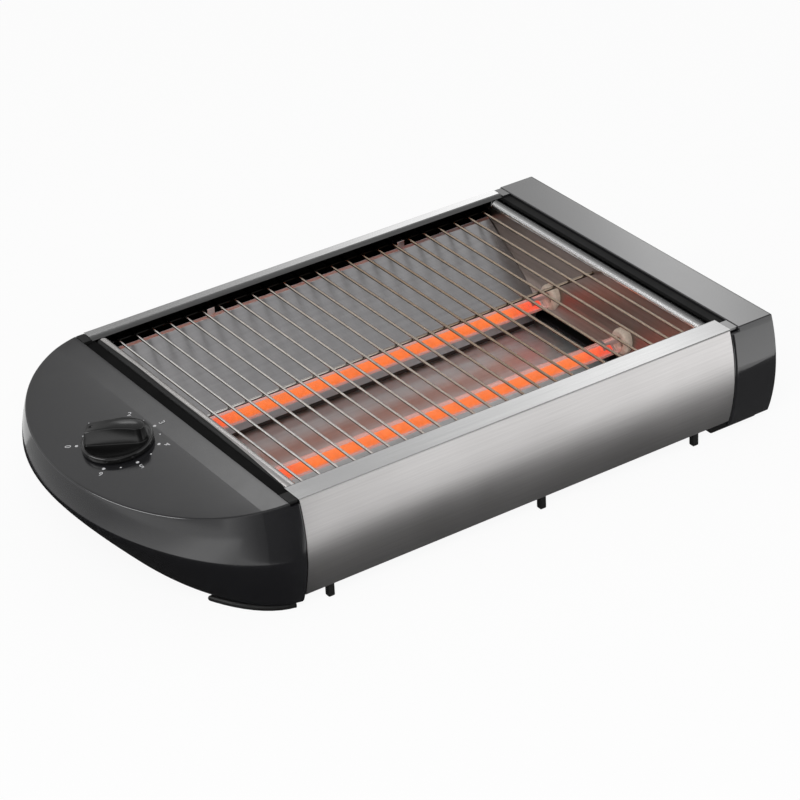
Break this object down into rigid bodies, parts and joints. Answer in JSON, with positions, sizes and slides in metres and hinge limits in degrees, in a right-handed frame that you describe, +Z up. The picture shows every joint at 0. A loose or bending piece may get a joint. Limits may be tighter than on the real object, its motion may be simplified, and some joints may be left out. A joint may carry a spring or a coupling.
{
  "type": "flat toaster",
  "caption": "Flat table toaster: wire rack over quartz heating tubes, brushed steel sides, rounded control end with a rotary timer, and a crumb tray that pulls out of the far end.",
  "frame": {"origin": "middle of the footprint box, on the surface that the feet stand on", "axes": "+X along the bed from the control end to the plain end, +Y to the back, +Z up"},
  "size_m": [0.402, 0.2392, 0.0778],
  "materials": {
    "cap_plastic": "smooth dark grey moulding with a soft gloss",
    "black_plastic": "fine matt moulding",
    "knob_plastic": "glossy black",
    "foot_plastic": "matt black",
    "brushed_steel": "brushed along the bed",
    "bright_steel": "bright, lightly polished",
    "plain_steel": "plain zinc-coated sheet",
    "plate_steel": "bright sheet, warmed to a light brown tint",
    "reflector_sheet": "bright mirror sheet",
    "rack_wire": "bright plated wire",
    "quartz": "clear quartz",
    "heating_wire": "glowing orange resistance wire",
    "ceramic": "unglazed beige ceramic",
    "tray_steel": "satin sheet",
    "timer_metal": "zinc-coated case",
    "brass": "plain brass",
    "screw_steel": "zinc-coated",
    "block_plastic": "ivory moulding",
    "brown_lead": "insulated lead",
    "red_lead": "insulated lead",
    "blue_lead": "insulated lead",
    "white_lead": "glass-fibre sleeved lead"
  },
  "bodies": {
    "housing": {"control_cap": "cap_plastic", "control_cover": "black_plastic", "end_cap": "cap_plastic", "end_cover": "black_plastic", "front_panel": "brushed_steel", "rear_panel": "brushed_steel", "front_rail": "bright_steel", "rear_rail": "bright_steel", "base_plate": "plain_steel", "tab_feet": "foot_plastic", "control_feet": "foot_plastic", "end_feet": "foot_plastic", "left_end_plate": "plate_steel", "right_end_plate": "plate_steel", "front_reflector": "reflector_sheet", "rear_reflector": "reflector_sheet", "toast_rack": "rack_wire", "rack_clips": "bright_steel", "front_quartz_tube": "quartz", "rear_quartz_tube": "quartz", "front_heating_coil": "heating_wire", "rear_heating_coil": "heating_wire", "front_left_ceramic": "ceramic", "rear_left_ceramic": "ceramic", "front_right_ceramic": "ceramic", "rear_right_ceramic": "ceramic", "terminal_pins": "plain_steel", "tray_runners": "plain_steel", "timer_housing": "timer_metal", "timer_bell": "brass", "timer_tabs": "brass", "timer_screws": "screw_steel", "terminal_block": "block_plastic", "cord_gland": "black_plastic", "live_lead": "brown_lead", "timer_lead": "red_lead", "neutral_lead": "blue_lead", "link_lead": "white_lead", "base_screws": "screw_steel", "cap_screws": "screw_steel", "plate_screws": "screw_steel"},
    "timer_dial": {"timer_knob": "knob_plastic", "timer_shaft": "plain_steel"},
    "crumb_drawer": {"crumb_tray": "tray_steel", "tray_pull": "black_plastic"}
  },
  "joints": [
    {"name": "timer_turn", "type": "hinge", "parent": "housing", "child": "timer_dial", "pos_m": [-0.162, 0, 0.06388], "axis": [0.1132, 0, -0.9936], "range_deg": [0, 280]},
    {"name": "tray_slide", "type": "slide", "parent": "housing", "child": "crumb_drawer", "axis": [1, 0, 0], "range_m": [0, 0.31]}
  ]
}
